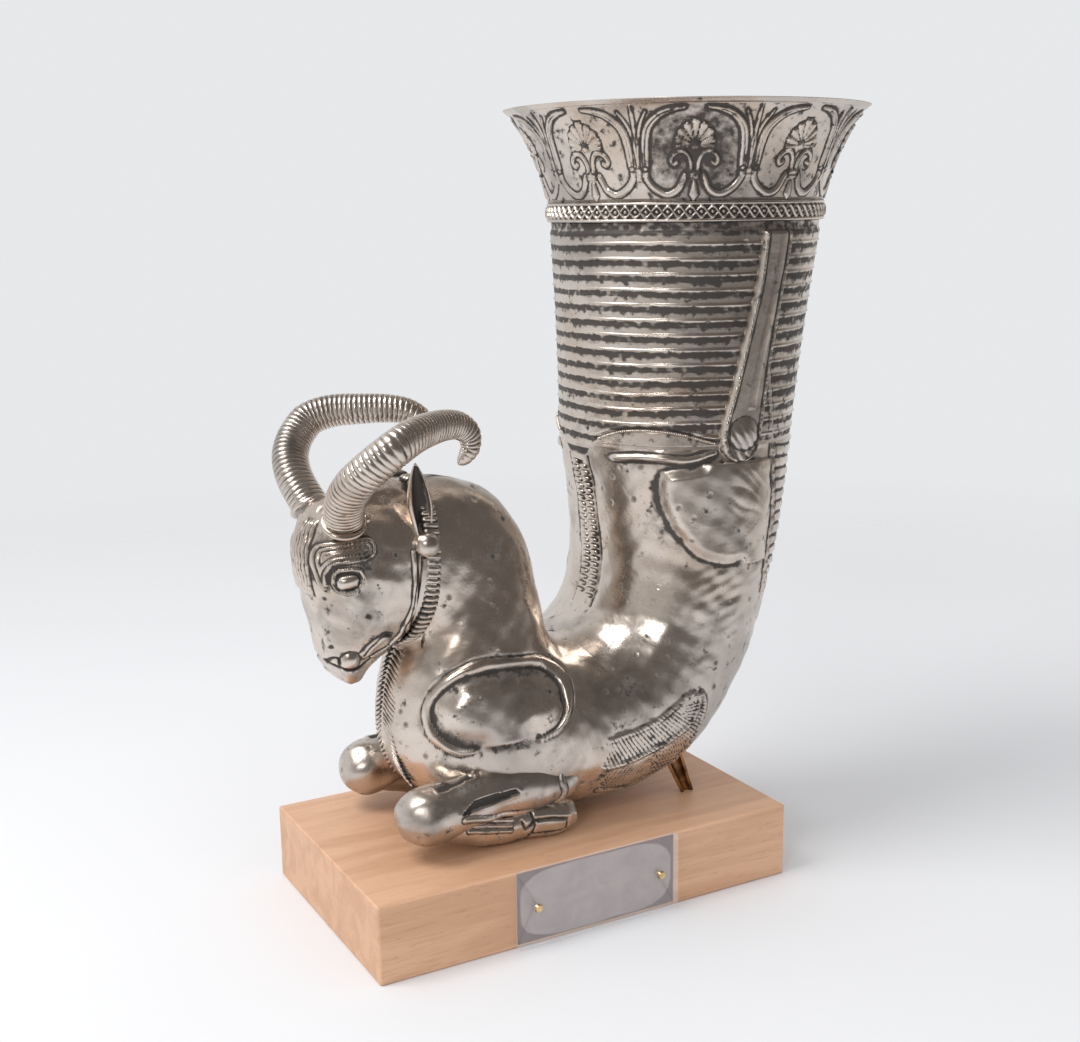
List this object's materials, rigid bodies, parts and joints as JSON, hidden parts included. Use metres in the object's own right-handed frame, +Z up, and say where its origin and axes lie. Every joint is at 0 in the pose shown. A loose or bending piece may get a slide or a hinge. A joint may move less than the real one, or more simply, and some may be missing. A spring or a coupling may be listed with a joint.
{
  "type": "rhyton drinking cup",
  "caption": "Horn-shaped silver drinking cup with a fluted beaker and flared mouth, ending in the forepart of a kneeling wild goat, on a wooden plinth with a blank plaque.",
  "frame": {"origin": "on the underside of the plinth, at the plinth's middle in X and in the goat's own mid-plane in Y", "axes": "+Z up; the goat looks towards -X; +Y is the goat's right side, and the plaque faces -Y"},
  "size_m": [0.2426, 0.1444, 0.305],
  "materials": {
    "antique_silver": "antique silver with dark patina in the recesses",
    "beech": "pale sanded beech",
    "card": "matt printed card, left bare",
    "acrylic": "clear polished acrylic",
    "brass": "polished brass",
    "bronze": "dull bronze"
  },
  "bodies": {
    "root": {"cup_floor": "antique_silver", "ear_left": "antique_silver", "ear_right": "antique_silver", "flared_rim": "antique_silver", "fluted_beaker": "antique_silver", "foreleg_left": "antique_silver", "foreleg_right": "antique_silver", "forequarter_shell": "antique_silver", "head_shell": "antique_silver", "hind_leg_left": "antique_silver", "hind_leg_right": "antique_silver", "hindquarter_shell": "antique_silver", "horn_left": "antique_silver", "horn_right": "antique_silver", "horn_rivets": "antique_silver", "jaw_ruff": "antique_silver", "plait_collar": "antique_silver", "plaque_card": "card", "plaque_cover": "acrylic", "plaque_pins": "brass", "plinth": "beech", "rear_prop": "bronze"}
  },
  "joints": []
}
